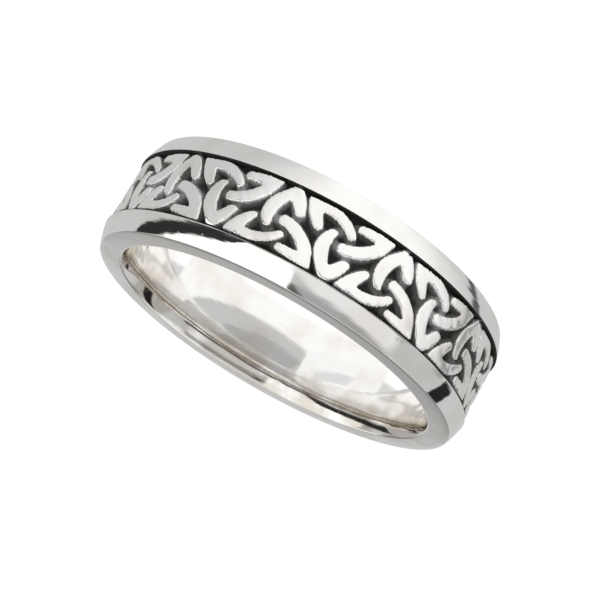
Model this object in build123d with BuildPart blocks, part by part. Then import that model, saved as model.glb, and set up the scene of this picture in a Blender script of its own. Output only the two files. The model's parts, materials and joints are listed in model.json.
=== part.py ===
from build123d import *
import os
from collections import namedtuple
from math import pi

# Cast silver band ring that lies on its back face, with trinity knots round the outside.
# The origin is the middle of the finger bore where it meets the surface, +Z is the ring's axis.
# All sizes are in millimetres.

# Finger bore and the rounding that eases it onto the finger
bore_diameter = 20.0
comfort_rise = 0.31
comfort_length = 1.3

# Band: its width along the finger and its walls, measured outwards from the bore
band_width = 6.6
edge_wall = 1.7
crest_wall = 2.12
edge_round = 0.06

# Sunk channel between the two rims
channel_width = 4.02
channel_depth = 0.6

# Knot ornament
knot_pairs = 11
knot_gap = 0.44
point_half_width = 0.35
rim_groove = 0.08
knot_sink = 0.1
stop_swell = 0.12
under_dip = 0.2
under_width = 0.5
under_lap = 0.2
root_depth = 0.3

bore_radius = bore_diameter / 2
edge_radius = bore_radius + edge_wall
crest_radius = bore_radius + crest_wall
floor_radius = crest_radius - channel_depth
knot_radius = crest_radius - knot_sink
under_radius = knot_radius - under_dip
mid_height = band_width / 2

# A knot fills half a pitch of the pattern less its neighbour's point and the gap between them
half_pitch = pi * knot_radius / knot_pairs
knot_half_width = half_pitch - point_half_width - knot_gap
knot_half_height = channel_width / 2 - rim_groove

# A knot is three bent strand ends, one at each corner of a triangle, and each has a long leg
# that lies on top and a short leg that comes out from under the next one. Places are shares of
# the knot's half width and half height, seen from outside with the point up, and go round the
# outline: down the outside of the long leg, back along its inside to the crotch, and out to the
# short leg and home along its outside.
StrandEnd = namedtuple(
    "StrandEnd",
    "corner outer_turn outer_bend outer_stop inner_stop inner_bend crotch "
    "short_inner_stop short_outer_stop short_outer_bend short_corner",
)
strand_ends = [
    # the point
    StrandEnd(
        corner=(0.11, 1.06), outer_turn=(0.365, 0.52), outer_bend=(0.45, 0.10), outer_stop=(0.31, -0.36),
        inner_stop=(0.14, -0.37), inner_bend=(0.145, 0.12), crotch=(0.0, 0.58),
        short_inner_stop=(-0.20, 0.27), short_outer_stop=(-0.385, 0.29), short_outer_bend=(-0.29, 0.70),
        short_corner=(-0.12, 1.06),
    ),
    # the left corner
    StrandEnd(
        corner=(-1.0, -0.95), outer_turn=(-0.88, -0.51), outer_bend=(-0.58, -0.09), outer_stop=(-0.03, 0.10),
        inner_stop=(0.0, -0.14), inner_bend=(-0.38, -0.36), crotch=(-0.62, -0.67),
        short_inner_stop=(-0.21, -0.70), short_outer_stop=(-0.20, -0.88), short_outer_bend=(-0.58, -0.98),
        short_corner=(-0.98, -0.98),
    ),
    # the right corner
    StrandEnd(
        corner=(1.0, -0.96), outer_turn=(0.42, -0.99), outer_bend=(0.02, -0.82), outer_stop=(-0.21, -0.48),
        inner_stop=(-0.10, -0.37), inner_bend=(0.18, -0.59), crotch=(0.61, -0.69),
        short_inner_stop=(0.48, -0.26), short_outer_stop=(0.59, -0.17), short_outer_bend=(0.84, -0.46),
        short_corner=(1.01, -0.91),
    ),
]


def place(share):
    """A point of the knot in millimetres, from its shares of the half width and half height."""
    return share[0] * knot_half_width, share[1] * knot_half_height


def halfway(first, second):
    """The middle of two places."""
    return (first[0] + second[0]) / 2, (first[1] + second[1]) / 2


def beyond(start, end, distance):
    """The place that lies the given distance past the end of a straight run."""
    run = Vector(*end) - Vector(*start)
    stop = Vector(*end) + run.normalized() * distance
    return stop.X, stop.Y


def swelling(start, end):
    """The top of a strand's rounded stop, to the right of the way from its start to its end."""
    across = Vector(*end) - Vector(*start)
    top = Vector(*halfway(start, end)) + Vector(across.Y, -across.X).normalized() * stop_swell
    return top.X, top.Y


def strand_end_sketch(strand):
    """One bent strand end, with its long leg and its short leg."""
    point = {name: place(share) for name, share in strand._asdict().items()}
    long_stop = swelling(point["inner_stop"], point["outer_stop"])
    short_stop = swelling(point["short_outer_stop"], point["short_inner_stop"])
    with BuildSketch() as outline:
        with BuildLine():
            Line(point["corner"], point["outer_turn"])
            ThreePointArc(point["outer_turn"], point["outer_bend"], point["outer_stop"])
            ThreePointArc(point["outer_stop"], long_stop, point["inner_stop"])
            ThreePointArc(point["inner_stop"], point["inner_bend"], point["crotch"])
            Line(point["crotch"], point["short_inner_stop"])
            ThreePointArc(point["short_inner_stop"], short_stop, point["short_outer_stop"])
            ThreePointArc(point["short_outer_stop"], point["short_outer_bend"], point["short_corner"])
            Line(point["short_corner"], point["corner"])
        make_face()
    return outline.sketch


def under_run_sketch(strand, next_strand):
    """The lower stretch between a long leg's stop and the short leg that it comes out as."""
    start = halfway(place(strand.outer_stop), place(strand.inner_stop))
    end = halfway(place(next_strand.short_outer_stop), place(next_strand.short_inner_stop))
    with BuildLine() as run:
        Line(beyond(end, start, under_lap), beyond(start, end, under_lap))
    with BuildSketch() as strip:
        trace(run.line, line_width=under_width)
    return strip.sketch


# The first knot faces the front, -Y. Its sketches lie on an upright plane inside the band's wall,
# sunk far enough for the knot's ends to start below the channel's floor, which curves away.
root_radius = (floor_radius**2 - knot_half_width**2) ** 0.5 - root_depth
knot_plane = Plane(origin=(0, -root_radius, mid_height), x_dir=(1, 0, 0), z_dir=(0, -1, 0))
knot_reach = crest_radius - root_radius

with BuildPart() as knot_top:
    with BuildSketch(knot_plane):
        for strand in strand_ends:
            add(strand_end_sketch(strand))
    extrude(amount=knot_reach)
    with Locations((0, 0, mid_height)):
        Cylinder(radius=knot_radius, height=band_width, mode=Mode.INTERSECT)

with BuildPart() as knot_under:
    with BuildSketch(knot_plane):
        for strand, next_strand in zip(strand_ends, strand_ends[1:] + strand_ends[:1]):
            add(under_run_sketch(strand, next_strand))
    extrude(amount=knot_reach)
    with Locations((0, 0, mid_height)):
        Cylinder(radius=under_radius, height=band_width, mode=Mode.INTERSECT)

# The band's section, from the bore out to the channel, is turned about the ring's axis
low_channel = mid_height - channel_width / 2
high_channel = mid_height + channel_width / 2

with BuildPart() as ring_band:
    with BuildSketch(Plane.XZ) as section:
        with BuildLine():
            Polyline(
                (bore_radius + comfort_rise, 0),
                (edge_radius, 0),
                (crest_radius, low_channel),
                (floor_radius, low_channel),
                (floor_radius, high_channel),
                (crest_radius, high_channel),
                (edge_radius, band_width),
                (bore_radius + comfort_rise, band_width),
            )
            TangentArc(
                (bore_radius, band_width - comfort_length),
                (bore_radius + comfort_rise, band_width),
                tangent=(0, 1),
            )
            Line((bore_radius, band_width - comfort_length), (bore_radius, comfort_length))
            TangentArc(
                (bore_radius, comfort_length),
                (bore_radius + comfort_rise, 0),
                tangent=(0, -1),
            )
        make_face()
        levels = [level for level in section.vertices().group_by(Axis.Y) if len(level) > 1]
        rim_corners = [level.sort_by(Axis.X)[-1] for level in levels]
        fillet(rim_corners, radius=edge_round)
    revolve(axis=Axis.Z)
    upright = [knot_top.part, knot_under.part]
    mid_plane = Plane.XY.offset(mid_height)
    upside_down = [mirror(knot, about=mid_plane, mode=Mode.PRIVATE) for knot in upright]
    with PolarLocations(0, knot_pairs):
        add(upright)
    with PolarLocations(0, knot_pairs, start_angle=180 / knot_pairs):
        add(upside_down)
ring_band.part.label = "ring_band"

os.makedirs("parts", exist_ok=True)
export_step(ring_band.part, "parts/ring_band.step")
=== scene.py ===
import json
from collections import namedtuple
from math import asin, atan2, cos, hypot, pi, radians, sin

import bpy
import numpy as np
from mathutils import Matrix, Vector


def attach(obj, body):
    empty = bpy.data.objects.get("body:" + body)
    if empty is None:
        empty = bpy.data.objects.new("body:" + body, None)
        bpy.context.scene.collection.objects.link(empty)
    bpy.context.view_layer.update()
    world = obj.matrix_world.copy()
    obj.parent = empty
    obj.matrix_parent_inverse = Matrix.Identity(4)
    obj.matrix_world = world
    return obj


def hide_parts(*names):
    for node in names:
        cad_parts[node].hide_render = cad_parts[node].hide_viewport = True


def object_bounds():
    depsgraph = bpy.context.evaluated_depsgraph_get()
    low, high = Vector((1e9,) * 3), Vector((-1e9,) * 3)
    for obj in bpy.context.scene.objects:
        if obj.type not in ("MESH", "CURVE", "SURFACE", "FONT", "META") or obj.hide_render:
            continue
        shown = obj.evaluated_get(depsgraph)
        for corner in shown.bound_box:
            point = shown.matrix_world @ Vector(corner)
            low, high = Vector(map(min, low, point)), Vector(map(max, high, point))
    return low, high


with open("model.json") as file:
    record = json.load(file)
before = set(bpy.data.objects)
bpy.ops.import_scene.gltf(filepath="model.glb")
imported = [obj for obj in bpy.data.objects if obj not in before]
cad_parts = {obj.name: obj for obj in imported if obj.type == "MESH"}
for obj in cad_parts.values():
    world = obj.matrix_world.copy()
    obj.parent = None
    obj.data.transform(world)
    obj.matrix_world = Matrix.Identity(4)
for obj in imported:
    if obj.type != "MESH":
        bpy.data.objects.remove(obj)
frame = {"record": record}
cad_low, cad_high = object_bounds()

# The looks of a cast silver band ring that lies on its back face: polished rims and bore, and
# trinity knots in relief in a darkened channel. All lengths are in metres. A place in the channel
# is "along", the way round the ring at the knots' radius from the knot that faces the front, and
# "up", the height above the middle of the band.
MM = 0.001

# Sizes of the band, as the frame gives them
finger_bore = next(mount for mount in frame["record"]["mounts"] if mount["name"] == "finger_bore")
bore_radius = finger_bore["dims"]["r_mm"] * MM
band_width = cad_high.z - cad_low.z
mid_height = (cad_high.z + cad_low.z) / 2
front_azimuth = -pi / 2

# Sizes of the section
comfort_rise = 0.31 * MM
comfort_length = 1.3 * MM
edge_radius = bore_radius + 1.7 * MM
crest_radius = bore_radius + 2.10 * MM
channel_half_width = 2.06 * MM
floor_radius = crest_radius - 0.6 * MM
crest_round = 0.012 * MM
edge_round = 0.025 * MM
inner_edge_round = 0.12 * MM
face_roll_length = 0.35 * MM
face_roll_drop = 0.025 * MM
bevel_swell = 0.026 * MM

# Sizes of the knots
knot_pairs = 11
knot_radius = crest_radius - 0.1 * MM
around = 2 * pi * knot_radius
half_pitch = pi * knot_radius / knot_pairs
knot_half_width = half_pitch - 0.79 * MM
knot_half_height = 1.92 * MM
stop_swell = 0.12 * MM
stop_spread = 0.05 * MM
corner_ease = 0.07 * MM
crotch_ease = 0.18 * MM
crotch_reach = 0.35 * MM
outline_growth = -0.004 * MM
outline_step = 0.035 * MM

# How a strand's top rounds off and falls to the channel's floor. The rounding at its edge is
# nearly a quarter of a circle: it stops short of the upright end by what this share leaves.
top_round = 0.08 * MM
top_round_drop = 0.035 * MM
round_share = 0.98
crown_reach = 0.28 * MM
crown_drop = 0.014 * MM
wall_run = 0.21 * MM

# How a strand dips towards its stops, and how it runs on under the next one
stop_dip = 0.02 * MM
stop_dip_reach = 0.40 * MM
under_drop = 0.18 * MM
under_half_width = 0.26 * MM
under_round_drop = 0.08 * MM

# The wall of the channel at each rim, and the low line that parts the strands from it
rim_wall_run = 0.05 * MM
rim_wall_recess = 0.95
wall_top_lean = 0.3
rim_line = 0.07 * MM
rim_line_drop = 0.14 * MM

# How the darkening grows beside a strand: to grey at once, and then to dark. It grows faster
# close to a rim, and it touches the edge of the strand's top too, most of all next to a rim.
shade_inset = 0.012 * MM
grey_reach = 0.036 * MM
grey_share = 0.34
dark_start = 0.12 * MM
dark_reach = 0.215 * MM
dark_share = 0.60
rim_grime = 1.8
rim_grime_reach = 0.15 * MM
edge_shade = 0.1
edge_shade_reach = 0.05 * MM
point_shade = 0.35
under_shade = 0.42

# How uneven the casting is: the spread of each draw, and the waves in its surface and in the
# strands' edges, by how many times they turn round the ring and how long they are up the band
cast_seed = 11
knot_spread = 0.02 * MM
end_spread = 0.010 * MM
place_spread = 0.008 * MM
lift_spread = 0.006 * MM
lean_spread = 0.012
wave_count = 14
cast_unevenness = 0.007 * MM
cast_turns = (20, 150)
cast_lengths = (0.5 * MM, 1.6 * MM)
edge_unevenness = 0.013 * MM
edge_turns = (90, 380)
edge_lengths = (0.2 * MM, 0.7 * MM)

# Steps of the mesh: a fine grid round the channel, which is then thinned out where it is flat
# and where its darkening is even
relief_columns = 2640
relief_rows = 124
rim_rows = 3
columns_per_segment = 12
kept_share = 0.27
edge_recess = (0.04, 0.34)
hold_strength = 1000
arc_steps = 16
corner_steps = 4
comfort_steps = 12
bevel_shares = (0.04, 0.2, 0.35, 0.5, 0.65, 0.8, 0.96)
roll_shares = (0.25, 0.5, 0.75, 1.0)
support_width = 0.04 * MM
mid_wall_radius = bore_radius + 1 * MM
normal_step = 0.012 * MM
rounding = 0.0001 * MM

# A knot is three bent strand ends, with places as shares of its half width and half height,
# round the outline from the outside of the long leg to the short leg
StrandEnd = namedtuple(
    "StrandEnd",
    "corner outer_turn outer_bend outer_stop inner_stop inner_bend crotch "
    "short_inner_stop short_outer_stop short_outer_bend short_corner",
)
strand_ends = [
    # the point
    StrandEnd(
        corner=(0.04, 1.07), outer_turn=(0.33, 0.60), outer_bend=(0.45, 0.10), outer_stop=(0.31, -0.36),
        inner_stop=(0.14, -0.37), inner_bend=(0.145, 0.12), crotch=(0.0, 0.58),
        short_inner_stop=(-0.20, 0.27), short_outer_stop=(-0.385, 0.29), short_outer_bend=(-0.29, 0.70),
        short_corner=(-0.04, 1.07),
    ),
    # the left corner
    StrandEnd(
        corner=(-1.0, -0.95), outer_turn=(-0.88, -0.51), outer_bend=(-0.58, -0.09), outer_stop=(-0.03, 0.10),
        inner_stop=(0.0, -0.14), inner_bend=(-0.38, -0.36), crotch=(-0.62, -0.67),
        short_inner_stop=(-0.21, -0.70), short_outer_stop=(-0.20, -0.88), short_outer_bend=(-0.58, -0.98),
        short_corner=(-0.98, -0.98),
    ),
    # the right corner
    StrandEnd(
        corner=(1.0, -0.96), outer_turn=(0.42, -0.99), outer_bend=(0.02, -0.82), outer_stop=(-0.21, -0.48),
        inner_stop=(-0.10, -0.37), inner_bend=(0.18, -0.59), crotch=(0.61, -0.69),
        short_inner_stop=(0.48, -0.26), short_outer_stop=(0.59, -0.17), short_outer_bend=(0.84, -0.46),
        short_corner=(1.01, -0.91),
    ),
]

# The ring's silvers, in the order that its mesh has them: how rough and how wavy each is, how
# much its waves run round the band, how deep its lines are and what darkens it
Silver = namedtuple("Silver", "name roughness waviness wave_stretch line_depth darkening")
silvers = [
    Silver("silver_polished", 0.04, 0.022 * MM, 4, 0.0016 * MM, None),
    Silver("silver_knotwork", 0.15, 0.005 * MM, 2, 0.0004 * MM, "relief"),
    Silver("silver_bore", 0.06, 0.003 * MM, 4, 0.0006 * MM, "stain"),
    Silver("silver_face", 0.10, 0.006 * MM, 4, 0.0006 * MM, None),
]
POLISHED, KNOTWORK, BORE, FACE = range(len(silvers))

# Colours of the silver and of what darkens it
bright_silver = (0.93, 0.922, 0.905, 1)
warm_silver = (0.84, 0.80, 0.74, 1)
rubbed_oxide = (0.152, 0.149, 0.144, 1)
deep_oxide = (0.040, 0.038, 0.035, 1)
bore_stain = (0.42, 0.37, 0.31, 1)

# Marks of polishing and wear: soft waves, lines round the band, clouds of tarnish and stray
# scratches. Scales are per metre, and a pair is where a noise starts to show and where it is full.
wave_scale = 330
wave_detail = 2.0
line_scale = 300
line_detail = 4.0
line_stretch = 24
cloud_scale = 420
cloud_detail = 3.0
cloud_tint = (0.42, 0.66)
cloud_tint_share = 0.5
cloud_gloss = (0.3, 0.7)
gloss_spread = (0.7, 1.4)
stray_scale = 260
stray_detail = 2.0
stray_turn = (0.6, 0.9, 0.4)
stray_stretch = (1, 14, 14)
stray_marks = (0.68, 0.74)
scratch_depth = 0.0006 * MM
scratch_roughness = 0.12

# The stain in the upper part of the bore, and the waves in its comfort curves
bore_tint_share = 0.8
stain_start = 0.9 * MM
stain_end = 2.5 * MM
stain_share = 0.5
stain_cloud = (0.35, 0.62)
calm_reach = 1.6 * MM
comfort_waviness = 0.016 * MM

# How the relief's darkening changes the metal: uneven grime, an oxide that is grey where it is
# rubbed and dark where it is deep, and a surface that is no longer metallic or glossy
grime_cloud = (0.35, 0.7)
grime_spread = 0.14
rubbed_grime = (0.05, 0.40)
deep_grime = (0.30, 0.90)
matt_recess = (0.1, 0.9)
matt_roughness = 0.35
oxide_recess = (0.12, 0.36)
oxide_metallic = 0.03
oxide_specular = 0.04

# The floor's reach, how much it glows by itself and its share of the light that falls on it, and
# how far the floor inside the bore lies above the rest
floor_reach = 1.5
floor_glow = 0.90
floor_share = 0.2
inner_floor_lift = 0.02 * MM
circle_steps = 64

# The studio as polished metal reflects it: even panels of light and dark, placed by direction.
# The first coordinate is the azimuth in degrees from the camera's side, anticlockwise seen from
# above, the second is the elevation, and a tone is a share of plain white. A panel that leans
# shifts sideways with its second coordinate, and a later panel covers those before it.
Panel = namedtuple("Panel", "name first second half_first half_second soft_first soft_second tone lean")
studio_panels = [
    Panel("light floor in front", -15, -60, 62, 62, 38, 3, 1.06, 0),
    Panel("ceiling", 0, 90, 181, 62, 1, 8, 1.0, 0),
    Panel("darker middle of the ceiling", 0, 90, 181, 26, 1, 10, 0.60, 0),
    Panel("grey wall behind", 180, 25.2, 60, 10.4, 10, 0.9, 0.43, 0),
    Panel("darker side of the wall behind", -161, 25.2, 16, 10.4, 8, 0.9, 0.34, 0),
    Panel("darker top of the wall behind", 180, 30, 60, 9, 10, 3, 0.25, 0),
    Panel("grey screen beside the camera", -27, 11, 36, 15, 5, 3, 0.84, -1.2),
    Panel("darker top of the screen", -27, 28, 36, 6, 3, 3, 0.40, 0),
    Panel("shade at the screen's edge", 4, 28.5, 4, 3.5, 3, 2.5, 0.10, -1.6),
    Panel("darker screen", -80, 12, 20, 12, 4, 3, 0.56, 0),
    Panel("soft box", 50, 28, 41, 16, 1.2, 1.2, 1.25, 0),
    Panel("low part of the soft box", 27, 3, 17, 11, 3, 3, 1.12, 0),
    Panel("black gap under the soft box", 79, 9.2, 38, 4.4, 0.8, 0.8, 0.03, 1.5),
    Panel("dark table edge", -5, 4, 60, 3, 4, 1, 0.12, 0),
    Panel("black stand", -103, 19, 5.5, 20, 0.8, 2, 0.02, 0.2),
    Panel("thin leg of the stand", -98, -16, 4.0, 18, 3, 3, 0.22, 0.3),
    Panel("foot of the stand", -112, -38, 4.5, 8, 2, 2, 0.12, 0.1),
]
open_studio_tone = 0.60

# The floor inside the bore as the metal reflects it: painted shade and painted light on a glowing disc,
# which stand in for the shadow that the ring's near wall casts on the floor inside it. Places are in
# millimetres from the axis: the first coordinate is towards the camera, the second to the left of that
inner_patches = [
    Panel("shade towards the camera", 9.0, 0, 8.6, 12, 0.2, 1.0, 0.60, 0.3),
    Panel("deeper shade", 10.5, -1.5, 6.5, 6.0, 0.3, 0.2, 0.44, 0),
    Panel("light past the shade", 1.1, 6.4, 8, 3.7, 0.2, 0.2, 1.0, 2.2),
    # A painted grey patch in the reflected floor
    Panel("painted grey patch", 1.2, 7.4, 3.4, 1.3, 0.6, 0.35, 0.78, 0.8),
    Panel("far shade", -8.8, 0, 2.0, 10, 0.15, 0.5, 0.74, 0),
    Panel("light middle of the far shade", -8.8, 0, 2.1, 3.9, 0.15, 0.5, 1.12, 0),
]
inner_tone = 1.04

# The camera as measured from the photograph: its distance from the ring's middle, its elevation,
# and how far aside it stands from the front knot, as a way round the ring at the radius that the
# knots were measured at
camera_distance = 89.54 * MM
camera_elevation = radians(16.64)
camera_aside = 0.45 * MM
measured_radius = 12.02 * MM
camera_azimuth = front_azimuth + camera_aside / measured_radius

# The picture in pixels: its side, the focal length, and the place of the ring's middle from the
# picture's own. The ring's axis points left and down in it, as this direction right and down says.
picture_side = 600
focal_pixels = 1500
ring_shift_right = -1.96
ring_shift_down = 0.24
axis_in_picture = (-0.5012, 0.8653)
sensor_side = 36
clip_range = (5 * MM, 20)


def arc_points(start, via, end):
    """Points along the arc through three places, the end left out."""
    (x1, y1), (x2, y2), (x3, y3) = start, via, end
    double_area = 2 * (x1 * (y2 - y3) + x2 * (y3 - y1) + x3 * (y1 - y2))
    q1, q2, q3 = x1 * x1 + y1 * y1, x2 * x2 + y2 * y2, x3 * x3 + y3 * y3
    cx = (q1 * (y2 - y3) + q2 * (y3 - y1) + q3 * (y1 - y2)) / double_area
    cy = (q1 * (x3 - x2) + q2 * (x1 - x3) + q3 * (x2 - x1)) / double_area
    radius = hypot(x1 - cx, y1 - cy)
    first = atan2(y1 - cy, x1 - cx)
    sweep_via = (atan2(y2 - cy, x2 - cx) - first) % (2 * pi)
    sweep = (atan2(y3 - cy, x3 - cx) - first) % (2 * pi)
    if sweep_via > sweep:
        sweep -= 2 * pi
    turns = [first + sweep * step / arc_steps for step in range(arc_steps)]
    return [(cx + radius * cos(turn), cy + radius * sin(turn)) for turn in turns]


def halfway(first, second):
    """The middle of two places."""
    return (first[0] + second[0]) / 2, (first[1] + second[1]) / 2


def swelling(start, end, facing):
    """The top of a rounded stop, to the right of the way from its start to its end."""
    along_x, along_y = end[0] - start[0], end[1] - start[1]
    share = stop_swell * facing / hypot(along_x, along_y)
    middle = halfway(start, end)
    return middle[0] + along_y * share, middle[1] - along_x * share


def strand_outline(point, facing):
    """The closed outline of a strand end, from its named places."""
    long_stop = swelling(point["inner_stop"], point["outer_stop"], facing)
    short_stop = swelling(point["short_outer_stop"], point["short_inner_stop"], facing)
    outline = [point["corner"]]
    outline += arc_points(point["outer_turn"], point["outer_bend"], point["outer_stop"])
    outline += arc_points(point["outer_stop"], long_stop, point["inner_stop"])
    outline += arc_points(point["inner_stop"], point["inner_bend"], point["crotch"])
    outline += [point["crotch"]]
    outline += arc_points(point["short_inner_stop"], short_stop, point["short_outer_stop"])
    outline += arc_points(point["short_outer_stop"], point["short_outer_bend"], point["short_corner"])
    outline += [point["short_corner"]]
    return np.array(outline)


def eased(outline, crotch):
    """An outline in even short steps with its corners eased, and its crotch most of all."""
    closed = np.vstack([outline, outline[:1]])
    way = np.concatenate([[0], np.cumsum(np.hypot(*np.diff(closed, axis=0).T))])
    count = round(way[-1] / outline_step)
    even = np.arange(count) * way[-1] / count
    points = np.stack([np.interp(even, way, closed[:, axis]) for axis in (0, 1)], axis=-1)
    tight, loose = (
        sum(np.roll(points, shift, axis=0) for shift in range(-reach, reach + 1)) / (2 * reach + 1)
        for reach in (round(corner_ease / outline_step), round(crotch_ease / outline_step))
    )
    nearness = np.clip(1 - np.hypot(*(points - crotch).T) / crotch_reach, 0, 1)[:, None]
    return tight + (loose - tight) * nearness * (2 - nearness)


rng = np.random.default_rng(cast_seed)


def knot_places(facing):
    """The places of every strand end of one knot, each a little off, as cast by hand."""
    ends = []
    for strand in strand_ends:
        shift = rng.normal(0, end_spread, 2)
        point = {}
        for name, (across, up) in strand._asdict().items():
            wobble = rng.normal(0, place_spread, 2)
            place = np.array((across * knot_half_width, up * knot_half_height)) + shift + wobble
            point[name] = place * (1, facing)
        for first, second in (("outer_stop", "inner_stop"), ("short_outer_stop", "short_inner_stop")):
            apart = point[first] - point[second]
            apart *= stop_spread / np.linalg.norm(apart)
            point[first], point[second] = point[first] + apart, point[second] - apart
        ends.append({name: tuple(place) for name, place in point.items()})
    return ends


# Every strand end of the ring: its knot's place round the ring, its outline, its two stops, the
# end of the run it takes under the next one, and how high and how slanted it was cast
Strand = namedtuple("Strand", "middle outline long_stop short_stop run_end lift lean")


def all_strands():
    """The strand ends of all the knots, which stand point up and point down by turns."""
    strands = []
    for knot in range(2 * knot_pairs):
        facing = 1 if knot % 2 == 0 else -1
        middle = knot * half_pitch + rng.normal(0, knot_spread)
        places = knot_places(facing)
        for point, next_point in zip(places, places[1:] + places[:1]):
            strands.append(
                Strand(
                    middle=middle,
                    outline=eased(strand_outline(point, facing), point["crotch"]),
                    long_stop=halfway(point["outer_stop"], point["inner_stop"]),
                    short_stop=halfway(point["short_outer_stop"], point["short_inner_stop"]),
                    run_end=halfway(next_point["short_outer_stop"], next_point["short_inner_stop"]),
                    lift=rng.normal(0, lift_spread),
                    lean=rng.normal(0, lean_spread, 2),
                )
            )
    return strands


def drawn_waves(turns, lengths):
    """Waves with drawn turns round the ring, drawn lengths up the band and drawn starts."""
    whole_turns = rng.integers(*turns, wave_count)
    lengths_up = rng.uniform(*lengths, wave_count)
    return list(zip(whole_turns, lengths_up, rng.uniform(0, 2 * pi, wave_count)))


strands = all_strands()
cast_waves = drawn_waves(cast_turns, cast_lengths)
edge_waves = drawn_waves(edge_turns, edge_lengths)


def unevenness(along, up, waves):
    """An unevenness near -1 to 1, which closes on itself round the ring."""
    total = np.zeros(along.shape)
    for turns, length, start in waves:
        total += np.sin(along / knot_radius * turns + up * 2 * pi / length + start)
    return total / len(waves) ** 0.5


def inside_distance(x, y, outline):
    """How far each place lies inside a closed outline, and negative outside it."""
    best = np.full(x.shape, np.inf)
    inside = np.zeros(x.shape, bool)
    for (ax, ay), (bx, by) in zip(outline, np.roll(outline, -1, axis=0)):
        ex, ey = bx - ax, by - ay
        share = np.clip(((x - ax) * ex + (y - ay) * ey) / (ex * ex + ey * ey), 0, 1)
        best = np.minimum(best, (x - ax - share * ex) ** 2 + (y - ay - share * ey) ** 2)
        if ay != by:
            crosses = (ay > y) != (by > y)
            inside ^= crosses & (x < ax + (y - ay) / (by - ay) * ex)
    distance = np.sqrt(best)
    return np.where(inside, distance, -distance)


def run_distance(x, y, start, end):
    """How far each place lies from the straight run between two places."""
    ex, ey = end[0] - start[0], end[1] - start[1]
    share = np.clip(((x - start[0]) * ex + (y - start[1]) * ey) / (ex * ex + ey * ey), 0, 1)
    return np.hypot(x - start[0] - share * ex, y - start[1] - share * ey)


def nearby(x, y, points, reach):
    """Which places lie in the box round some points, widened by a reach."""
    low, high = points.min(axis=0) - reach, points.max(axis=0) + reach
    return (x > low[0]) & (x < high[0]) & (y > low[1]) & (y < high[1])


def strand_fall(inside, round_width, round_drop, full_fall):
    """How far below its top a strand is: a crown, a rounded edge and a wall that eases out."""
    from_middle = np.clip(1 - inside / crown_reach, 0, 1)
    over_edge = np.clip(1 - inside / round_width, 0, 1)
    rounded = round_drop * (1 - np.sqrt(1 - over_edge * over_edge * round_share))
    edge = crown_drop * from_middle**2 + rounded
    down_wall = np.clip(-inside / wall_run, 0, 1)
    return edge + (full_fall - edge) * np.sin(down_wall * pi / 2)


def wall_shade(outside):
    """How darkened the metal is beside a strand: grey close to its edge, and then ever darker."""
    far = np.clip((outside - dark_start) / (dark_reach - dark_start), 0, 1)
    return grey_share * np.clip(outside / grey_reach, 0, 1) + dark_share * far * far * (3 - 2 * far)


def strand_relief(strand, x, y, from_rim, cast, rough):
    """The radius and the darkening that a strand end gives the places near it."""
    inside = inside_distance(x, y, strand.outline) + outline_growth + rough
    dip = np.zeros(x.shape)
    for stop in (strand.long_stop, strand.short_stop):
        nearness = np.clip(1 - np.hypot(x - stop[0], y - stop[1]) / stop_dip_reach, 0, 1)
        dip += stop_dip * nearness * nearness
    centre = strand.outline.mean(axis=0)
    slant = strand.lean[0] * (x - centre[0]) + strand.lean[1] * (y - centre[1])
    at_rim = np.clip(1 - (from_rim - rim_line) / rim_line, 0, 1)
    top = knot_radius + strand.lift + slant + cast - dip - rim_line_drop * at_rim
    fall = strand_fall(inside, top_round, top_round_drop, knot_radius - floor_radius)
    faster = 1 + rim_grime * np.exp(-from_rim / rim_grime_reach)
    outside = np.maximum(shade_inset - inside, 0) * faster
    at_edge = np.clip(1 - inside / edge_shade_reach, 0, 1)
    recess = at_edge * edge_shade + point_shade * at_rim + wall_shade(outside)
    return np.minimum(top, crest_radius) - fall, recess


def under_run_relief(strand, x, y, rough):
    """The radius and the darkening that a strand gives the places where it runs under the next."""
    inside = under_half_width - run_distance(x, y, strand.long_stop, strand.run_end) + rough
    top = knot_radius - under_drop
    fall = strand_fall(inside, under_half_width, under_round_drop, top - floor_radius)
    return top - fall, under_shade + (1 - under_shade) * np.maximum(-inside, 0) / dark_reach


def relief(along, up):
    """The channel's radius at each place along and up the band, and how darkened it is, 0 to 1."""
    cast = unevenness(along, up, cast_waves) * cast_unevenness
    rough = unevenness(along, up, edge_waves) * edge_unevenness
    from_rim = channel_half_width - np.abs(up)
    radius = floor_radius + cast
    recess = np.ones(along.shape)
    for strand in strands:
        x = (along - strand.middle + around / 2) % around - around / 2
        near = nearby(x, up, strand.outline, wall_run)
        laid = strand_relief(strand, x[near], up[near], from_rim[near], cast[near], rough[near])
        radius[near] = np.maximum(radius[near], laid[0])
        recess[near] = np.minimum(recess[near], laid[1])
        run = np.array([strand.long_stop, strand.run_end])
        near = nearby(x, up, run, under_half_width + wall_run)
        laid = under_run_relief(strand, x[near], up[near], rough[near])
        radius[near] = np.maximum(radius[near], laid[0])
        recess[near] = np.minimum(recess[near], laid[1])
    down_wall = np.clip(from_rim / rim_wall_run, 0, 1)
    rim_top = crest_radius - crest_round
    wall = rim_top - (rim_top - floor_radius) * np.sin(down_wall * pi / 2)
    on_wall = (down_wall < 1) & (wall >= radius)
    recess = np.where(on_wall, rim_wall_recess, recess)
    return np.where(on_wall, wall, radius), np.clip(recess, 0, 1)


def rounded_corner(before, corner, after, radius):
    """Points of the arc that rounds a corner of the section."""
    corner = np.array(corner)
    towards_before = np.array(before) - corner
    towards_after = np.array(after) - corner
    towards_before /= np.linalg.norm(towards_before)
    towards_after /= np.linalg.norm(towards_after)
    half_angle = np.arccos(np.clip(towards_before @ towards_after, -1, 1)) / 2
    back = radius / np.tan(half_angle)
    start, end = corner + towards_before * back, corner + towards_after * back
    bisector = (towards_before + towards_after) / np.linalg.norm(towards_before + towards_after)
    centre = corner + bisector * radius / np.sin(half_angle)
    points = []
    for step in range(corner_steps + 1):
        place = start + (end - start) * step / corner_steps - centre
        points.append(tuple(centre + place / np.linalg.norm(place) * radius))
    return points


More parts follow.
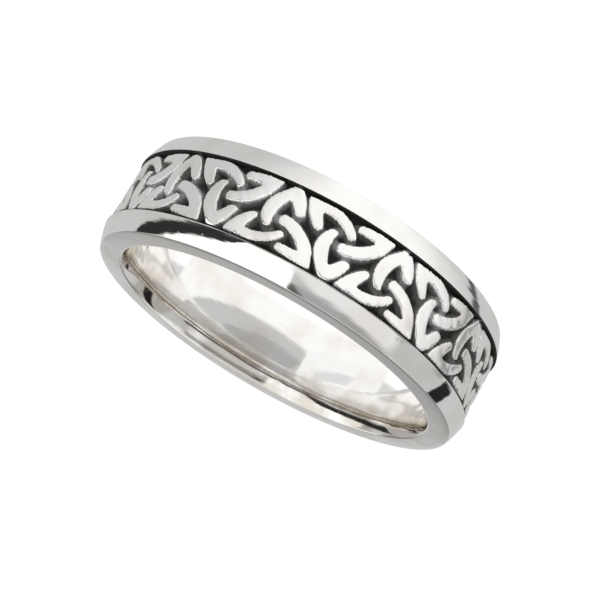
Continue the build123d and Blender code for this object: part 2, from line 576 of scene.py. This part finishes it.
def comfort_curve():
    """Points of the curve that eases the upper end of the bore, from the side face inwards."""
    curve_radius = (comfort_length**2 + comfort_rise**2) / (2 * comfort_rise)
    curve_start = band_width / 2 - comfort_length
    full_turn = asin(comfort_length / curve_radius)
    points = []
    for step in range(comfort_steps):
        turn = full_turn * (1 - step / comfort_steps)
        radius = bore_radius + curve_radius * (1 - cos(turn))
        points.append((radius, curve_start + curve_radius * sin(turn)))
    return points


def swollen(start, end):
    """Points between the ends of a bevel, which bows outwards."""
    start, end = np.array(start), np.array(end)
    outward = np.array((end[1] - start[1], start[0] - end[0])) / np.linalg.norm(end - start)
    points = []
    for share in bevel_shares:
        swell = bevel_swell * 4 * share * (1 - share)
        points.append(tuple(start + (end - start) * share + outward * swell))
    return points


def upper_section():
    """Radius and height above the middle, from the channel's edge over the rim and face to mid bore."""
    half = band_width / 2
    crest = (crest_radius, channel_half_width)
    edge = (edge_radius, half - face_roll_drop)
    inner_edge = (bore_radius + comfort_rise, half)
    roll = [
        (edge_radius - face_roll_length * share, half - face_roll_drop * (1 - share) ** 2)
        for share in roll_shares
    ]
    comfort = comfort_curve()
    comfort_start = half - comfort_length
    crest_arc = rounded_corner((floor_radius, channel_half_width), crest, edge, crest_round)[1:]
    edge_arc = rounded_corner(crest, edge, roll[0], edge_round)
    inner_arc = rounded_corner(roll[-1], inner_edge, comfort[1], inner_edge_round)
    section = crest_arc + swollen(crest_arc[-1], edge_arc[0]) + edge_arc + roll
    section += [(inner_arc[0][0] + support_width, half)]
    section += inner_arc
    section += [point for point in comfort[1:] if point[1] < inner_arc[-1][1] - support_width]
    section += [(bore_radius, comfort_start), (bore_radius, comfort_start / 2), (bore_radius, 0.0)]
    return section


def relief_heights():
    """The heights of the relief's rows: close together down the wall at each rim, and even between."""
    down_rim = channel_half_width - np.linspace(0, rim_wall_run, rim_rows)
    between = (down_rim[-1] - rim_wall_run / 2) * np.linspace(-1, 1, relief_rows - 2 * rim_rows)
    return np.concatenate([-down_rim, between, down_rim[::-1]])


def channel_grid():
    """The channel's vertices as columns of a fine grid, and the radius and darkening of each."""
    even = np.arange(relief_columns) * around / relief_columns
    along, up = np.meshgrid(even, relief_heights(), indexing="ij")
    radius, recess = relief(along, up)
    turn = front_azimuth + along / knot_radius
    vertices = np.stack([radius * np.cos(turn), radius * np.sin(turn), mid_height + up], axis=-1)
    return vertices, radius, recess


def channel_faces(index, radius):
    """Two triangles for each cell of the grid, parted along the diagonal that is more level."""
    following = np.roll(index, -1, axis=0)
    a, b, c, d = index[:, :-1], following[:, :-1], following[:, 1:], index[:, 1:]
    level = radius.ravel()
    split_ac = (np.abs(level[a] - level[c]) <= np.abs(level[b] - level[d]))[..., None]
    first = np.where(split_ac, np.stack([a, b, c], -1), np.stack([a, b, d], -1)).reshape(-1, 3)
    second = np.where(split_ac, np.stack([a, c, d], -1), np.stack([b, c, d], -1)).reshape(-1, 3)
    return [*first.tolist(), *second.tolist()]


def plain_grid():
    """The vertices of the rims, faces and bore: the section's loop at each turn round the ring."""
    section = upper_section()
    loop = section + [(radius, -height) for radius, height in reversed(section[:-1])]
    segments = relief_columns // columns_per_segment
    turns = front_azimuth + np.arange(segments) * 2 * pi / segments
    return np.array([[(r * cos(t), r * sin(t), mid_height + z) for r, z in loop] for t in turns])


def plain_faces(plain, index):
    """The faces between the loops, and those that join each loop to the channel's first and last rows."""
    faces = []
    segments = len(plain)
    for segment in range(segments):
        here, there = plain[segment].tolist(), plain[(segment + 1) % segments].tolist()
        start = segment * columns_per_segment
        fine = [(start + column) % relief_columns for column in range(columns_per_segment + 1)]
        faces.append(index[fine, -1].tolist() + [there[0], here[0]])
        faces.append(index[fine[::-1], 0].tolist() + [here[-1], there[-1]])
        for row in range(len(here) - 1):
            faces.append([here[row], there[row], there[row + 1], here[row + 1]])
    return faces


def full_mesh():
    """The whole ring as one closed mesh with a fine grid in the channel, and what may be thinned."""
    fine, radius, recess = channel_grid()
    coarse = plain_grid()
    index = np.arange(recess.size).reshape(recess.shape)
    plain = recess.size + np.arange(coarse.size // 3).reshape(coarse.shape[:2])
    vertices = np.concatenate([fine.reshape(-1, 3), coarse.reshape(-1, 3)]).tolist()
    mesh = bpy.data.meshes.new("silver_ring")
    mesh.from_pydata(vertices, [], channel_faces(index, radius) + plain_faces(plain, index))
    mesh.update()
    held = (recess > edge_recess[0]) & (recess < edge_recess[1])
    held[:, :rim_rows] = held[:, -rim_rows:] = True
    return mesh, index[~held].tolist()


def thinned(mesh, thinnable):
    """The mesh with its thinnable vertices thinned out where they lie flat, and the others kept."""
    trial = bpy.data.objects.new("trial", mesh)
    bpy.context.scene.collection.objects.link(trial)
    group = trial.vertex_groups.new(name="thinnable")
    group.add(thinnable, 1.0, "REPLACE")
    thinner = trial.modifiers.new("thin", "DECIMATE")
    thinner.ratio = kept_share
    thinner.vertex_group = group.name
    thinner.vertex_group_factor = hold_strength
    thinner.use_collapse_triangulate = True
    bpy.context.view_layer.update()
    thin = bpy.data.meshes.new_from_object(trial.evaluated_get(bpy.context.evaluated_depsgraph_get()))
    bpy.data.objects.remove(trial)
    bpy.data.meshes.remove(mesh)
    return thin


def relief_normals(along, up, radius):
    """The directions that the relief faces, from its slopes round the ring and up the band."""
    slope_along, slope_up = (
        (relief(along + a, up + b)[0] - relief(along - a, up - b)[0]) / (2 * normal_step)
        for a, b in ((normal_step, 0), (0, normal_step))
    )
    turn = front_azimuth + along / knot_radius
    wide = radius / knot_radius
    x = wide * np.cos(turn) + slope_along * np.sin(turn)
    y = wide * np.sin(turn) - slope_along * np.cos(turn)
    normals = np.stack([x, y, -wide * slope_up], axis=-1)
    return normals / np.linalg.norm(normals, axis=-1, keepdims=True)


def surface_of(corners, channel, bore, flat):
    """Which of the silvers a face takes, from what its corners belong to."""
    if channel[corners].any():
        return KNOTWORK
    if bore[corners].all():
        return BORE
    return FACE if flat[corners].all() else POLISHED


def ring_mesh():
    """The ring's mesh, with its darkening as an attribute and the relief's own normals."""
    mesh = thinned(*full_mesh())
    mesh.name = "silver_ring"
    places = np.empty(len(mesh.vertices) * 3)
    mesh.vertices.foreach_get("co", places)
    places = places.reshape(-1, 3)
    up = places[:, 2] - mid_height
    out = np.hypot(places[:, 0], places[:, 1])
    along = (np.arctan2(places[:, 1], places[:, 0]) - front_azimuth) * knot_radius % around
    channel = (np.abs(up) < channel_half_width - rounding) & (out > mid_wall_radius)
    wall_top = np.abs(np.abs(up) - channel_half_width) < rounding
    bore = out < bore_radius + comfort_rise + rounding
    flat = np.abs(up) > band_width / 2 - face_roll_drop - rounding

    # The thinned vertices of the channel go back onto the exact relief
    recess = np.zeros(len(places))
    radius, recess[channel] = relief(along[channel], up[channel])
    recess[wall_top] = rim_wall_recess
    places[channel, :2] *= (radius / out[channel])[:, None]
    mesh.vertices.foreach_set("co", places.ravel())
    attribute = mesh.attributes.new("recess", "FLOAT", "POINT")
    attribute.data.foreach_set("value", recess)

    surfaces = [surface_of(list(face.vertices), channel, bore, flat) for face in mesh.polygons]
    mesh.polygons.foreach_set("material_index", np.array(surfaces, dtype=np.int32))
    mesh.polygons.foreach_set("use_smooth", [True] * len(mesh.polygons))
    mesh.update()

    # A normal of zero leaves the vertex its own. The top of the channel's wall faces the channel.
    normals = np.zeros(places.shape)
    normals[channel] = relief_normals(along[channel], up[channel], radius)
    outwards = places[wall_top] * (1, 1, 0) / out[wall_top, None]
    normals[wall_top] = outwards * wall_top_lean - np.outer(np.sign(up[wall_top]), (0, 0, 1))
    normals[wall_top] /= np.linalg.norm(normals[wall_top], axis=-1, keepdims=True)
    mesh.normals_split_custom_set_from_vertices(normals.tolist())
    return mesh


class NodeMaker:
    """Short calls that add nodes to the tree of a material or of the world."""

    def __init__(self, tree):
        self.tree = tree

    def node(self, kind, inputs, **settings):
        """A node with its settings, and its inputs set to values or linked to other nodes."""
        made = self.tree.nodes.new("ShaderNode" + kind)
        for name, value in settings.items():
            setattr(made, name, value)
        for name, value in inputs.items():
            self.feed(made, name, value)
        return made

    def feed(self, node, name, value):
        """Set one input of a node to a value, or link it to an output."""
        if isinstance(value, bpy.types.NodeSocket):
            self.tree.links.new(value, node.inputs[name])
        else:
            node.inputs[name].default_value = value

    def math(self, operation, *values):
        """The output of one sum, product or other operation."""
        return self.node("Math", dict(enumerate(values)), operation=operation).outputs[0]

    def between(self, value, start, end, low=0.0, high=1.0):
        """A smooth step from low to high, as the value goes from start to end."""
        inputs = {"Value": value, "From Min": start, "From Max": end, "To Min": low, "To Max": high}
        return self.node("MapRange", inputs, interpolation_type="SMOOTHSTEP").outputs["Result"]

    def mixed(self, share, first, second):
        """One colour turned into another by a share."""
        node = self.node("Mix", {"Factor": share}, data_type="RGBA")
        for socket, value in zip([item for item in node.inputs if item.type == "RGBA"], (first, second)):
            if isinstance(value, bpy.types.NodeSocket):
                self.tree.links.new(value, socket)
            else:
                socket.default_value = value
        return next(item for item in node.outputs if item.type == "RGBA")

    def noise(self, vector, scale, detail):
        """Plain noise from 0 to 1."""
        inputs = {"Vector": vector, "Scale": scale, "Detail": detail}
        return self.node("TexNoise", inputs).outputs["Fac"]

    def bump(self, depth, height, normal=None):
        """A normal that follows a height, laid over another normal."""
        inputs = {"Strength": 1.0, "Distance": depth, "Height": height}
        if normal is not None:
            inputs["Normal"] = normal
        return self.node("Bump", inputs).outputs["Normal"]


def round_the_band(make, x, y, z, stretch):
    """A place whose third coordinate goes across the band, stretched so that marks run round it."""
    out = make.math("SQRT", make.math("ADD", make.math("MULTIPLY", x, x), make.math("MULTIPLY", y, y)))
    across = make.math("MULTIPLY", make.math("ADD", out, z), stretch)
    return make.node("CombineXYZ", {"X": x, "Y": y, "Z": across}).outputs["Vector"]


def worn_silver(silver):
    """The material of a silver, with soft waves, fine lines round the band and stray scratches."""
    material = bpy.data.materials.new(silver.name)
    material.use_nodes = True
    shader = material.node_tree.nodes["Principled BSDF"]
    shader.inputs["Metallic"].default_value = 1
    make = NodeMaker(material.node_tree)
    place = make.node("TexCoord", {}).outputs["Object"]
    x, y, z = make.node("SeparateXYZ", {"Vector": place}).outputs
    lines = make.noise(round_the_band(make, x, y, z, line_stretch), line_scale, line_detail)
    waves = make.noise(round_the_band(make, x, y, z, silver.wave_stretch), wave_scale, wave_detail)
    cloud = make.noise(place, cloud_scale, cloud_detail)
    turned = make.node("Mapping", {"Vector": place, "Rotation": stray_turn, "Scale": stray_stretch})
    stray = make.noise(turned.outputs["Vector"], stray_scale, stray_detail)
    scratch = make.between(stray, *stray_marks)

    waviness = silver.waviness
    tint_share = bore_tint_share if silver.darkening == "stain" else cloud_tint_share
    colour = make.mixed(make.between(cloud, *cloud_tint, 0.0, tint_share), bright_silver, warm_silver)
    least, most = (silver.roughness * share for share in gloss_spread)
    scratched = make.math("MULTIPLY", scratch, scratch_roughness)
    gloss = make.math("ADD", make.between(cloud, *cloud_gloss, least, most), scratched)
    if silver.darkening == "stain":
        height = make.math("SUBTRACT", z, mid_height)
        share = make.between(height, stain_start, stain_end, 0.0, stain_share)
        share = make.math("MULTIPLY", share, make.between(cloud, *stain_cloud))
        colour = make.mixed(share, colour, bore_stain)
        from_middle = make.math("ABSOLUTE", height)
        waviness = make.between(from_middle, calm_reach, band_width / 2, waviness, comfort_waviness)
    if silver.darkening == "relief":
        recess = make.node("Attribute", {}, attribute_name="recess").outputs["Fac"]
        uneven = make.between(cloud, *grime_cloud, -grime_spread, grime_spread)
        grime = make.math("ADD", recess, uneven)
        colour = make.mixed(make.between(grime, *rubbed_grime), colour, rubbed_oxide)
        colour = make.mixed(make.between(grime, *deep_grime), colour, deep_oxide)
        gloss = make.math("ADD", gloss, make.between(recess, *matt_recess, 0.0, matt_roughness))
        make.feed(shader, "Metallic", make.between(recess, *oxide_recess, 1.0, oxide_metallic))
        shader.inputs["Specular IOR Level"].default_value = oxide_specular
    make.feed(shader, "Base Color", colour)
    make.feed(shader, "Roughness", gloss)

    waved = make.bump(waviness, waves)
    lined = make.bump(silver.line_depth, lines, waved)
    make.feed(shader, "Normal", make.bump(-scratch_depth, scratch, lined))
    return material


def make_ring():
    """The ring with its four silvers."""
    ring = bpy.data.objects.new("silver_ring", ring_mesh())
    bpy.context.scene.collection.objects.link(ring)
    for silver in silvers:
        ring.data.materials.append(worn_silver(silver))
    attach(ring, "root")
    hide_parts("ring_band")


def glowing(name, own_tone, light_share):
    """A matt white that glows by itself, and takes a share of the light that falls on it."""
    material = bpy.data.materials.new(name)
    material.use_nodes = True
    shader = material.node_tree.nodes["Principled BSDF"]
    shader.inputs["Base Color"].default_value = (light_share, light_share, light_share, 1)
    shader.inputs["Roughness"].default_value = 1
    shader.inputs["Specular IOR Level"].default_value = 0
    shader.inputs["Emission Color"].default_value = (1, 1, 1, 1)
    shader.inputs["Emission Strength"].default_value = own_tone
    return material


def circle(radius, height):
    """The points of a level circle round the ring's axis."""
    turns = [step * 2 * pi / circle_steps for step in range(circle_steps)]
    return [(radius * cos(turn), radius * sin(turn), height) for turn in turns]


def linked_piece(name, points, faces, material):
    """A piece with one material, linked into the scene."""
    mesh = bpy.data.meshes.new(name)
    mesh.from_pydata(points, [], faces)
    mesh.materials.append(material)
    piece = bpy.data.objects.new(name, mesh)
    bpy.context.scene.collection.objects.link(piece)
    return piece


def make_floor():
    """A round white floor, lit from below as a light table is, and the white wall round it."""
    rim, wall_top = circle(floor_reach, 0), circle(floor_reach, floor_reach)
    disc = [tuple(range(circle_steps))]
    floor = linked_piece("floor", rim, disc, glowing("floor_white", floor_glow, floor_share))
    wall = []
    for step in range(circle_steps):
        following = (step + 1) % circle_steps
        wall.append((step, following, following + circle_steps, step + circle_steps))
    backdrop = linked_piece("backdrop", rim + wall_top, wall, glowing("backdrop_white", 1.0, 0.0))
    backdrop.visible_diffuse = False
    backdrop.visible_shadow = False
    for piece in (floor, backdrop):
        piece.visible_glossy = False


def laid_over(make, first, second, panels, tone):
    """A tone with panels laid over it by two coordinates, each over the ones before it."""
    for panel in panels:
        above = make.math("SUBTRACT", second, panel.second)
        middle = make.math("ADD", make.math("MULTIPLY", above, panel.lean), panel.first)
        aside = make.math("WRAP", make.math("SUBTRACT", first, middle), 180, -180)
        shares = (
            make.between(make.math("ABSOLUTE", distance), half - soft, half + soft, 1, 0)
            for distance, half, soft in (
                (aside, panel.half_first, panel.soft_first),
                (above, panel.half_second, panel.soft_second),
            )
        )
        share = make.math("MULTIPLY", *shares)
        tone = make.node("Mix", {0: share, 2: tone, 3: panel.tone}, data_type="FLOAT").outputs[0]
    return tone


def make_inner_floor():
    """The floor inside the bore as only the metal sees it: a glowing disc with painted shade, darker on the
    side towards the camera, and painted light.
    """
    material = glowing("inner_floor_shade", 1.0, 0.0)
    make = NodeMaker(material.node_tree)
    place = make.node("TexCoord", {}).outputs["Object"]
    mapping = {"Vector": place, "Rotation": (0, 0, -camera_azimuth), "Scale": (1 / MM, 1 / MM, 1 / MM)}
    turned = make.node("Mapping", mapping).outputs["Vector"]
    first, second, _ = make.node("SeparateXYZ", {"Vector": turned}).outputs
    # The glow is painted with shade and light, which the bore shows as a painted reflection
    tone = laid_over(make, first, second, inner_patches, inner_tone)
    make.feed(material.node_tree.nodes["Principled BSDF"], "Emission Strength", tone)
    disc = [tuple(range(circle_steps))]
    piece = linked_piece("inner_floor", circle(bore_radius, inner_floor_lift), disc, material)
    piece.visible_camera = False
    piece.visible_diffuse = False
    piece.visible_shadow = False


def make_world():
    """The studio's light: each panel laid over the ones before it."""
    world = bpy.data.worlds.new("studio")
    bpy.context.scene.world = world
    world.use_nodes = True
    make = NodeMaker(world.node_tree)
    place = make.node("TexCoord", {}).outputs["Generated"]
    turned = make.node("Mapping", {"Vector": place, "Rotation": (0, 0, -camera_azimuth)}).outputs["Vector"]
    x, y, z = make.node("SeparateXYZ", {"Vector": turned}).outputs
    azimuth = make.math("DEGREES", make.math("ARCTAN2", y, x))
    elevation = make.math("DEGREES", make.math("ARCSINE", z))
    tone = laid_over(make, azimuth, elevation, studio_panels, open_studio_tone)
    make.feed(world.node_tree.nodes["Background"], "Color", tone)


def make_camera():
    """The camera, rolled so that the ring's axis points where it does in the photograph."""
    data = bpy.data.cameras.new("camera")
    data.sensor_width = sensor_side
    data.lens = focal_pixels / picture_side * sensor_side
    data.clip_start, data.clip_end = clip_range
    data.shift_x = -ring_shift_right / picture_side
    data.shift_y = ring_shift_down / picture_side
    camera = bpy.data.objects.new("camera", data)
    bpy.context.scene.collection.objects.link(camera)
    bpy.context.scene.camera = camera
    level = cos(camera_elevation)
    backward = Vector((cos(camera_azimuth) * level, sin(camera_azimuth) * level, sin(camera_elevation)))
    right = Vector((0, 0, 1)).cross(backward).normalized()
    above = backward.cross(right)
    roll = atan2(axis_in_picture[0], -axis_in_picture[1])
    turned_right = right * cos(roll) + above * sin(roll)
    turned_above = above * cos(roll) - right * sin(roll)
    camera.matrix_world = Matrix((turned_right, turned_above, backward)).transposed().to_4x4()
    camera.location = Vector((0, 0, mid_height)) + backward * camera_distance


make_ring()
make_floor()
make_inner_floor()
make_world()
make_camera()

# Light that the metal passes on in the narrow pockets of the relief needs many bounces
scene = bpy.context.scene
scene.view_settings.view_transform = "Standard"
scene.cycles.max_bounces = 16
scene.cycles.glossy_bounces = 16
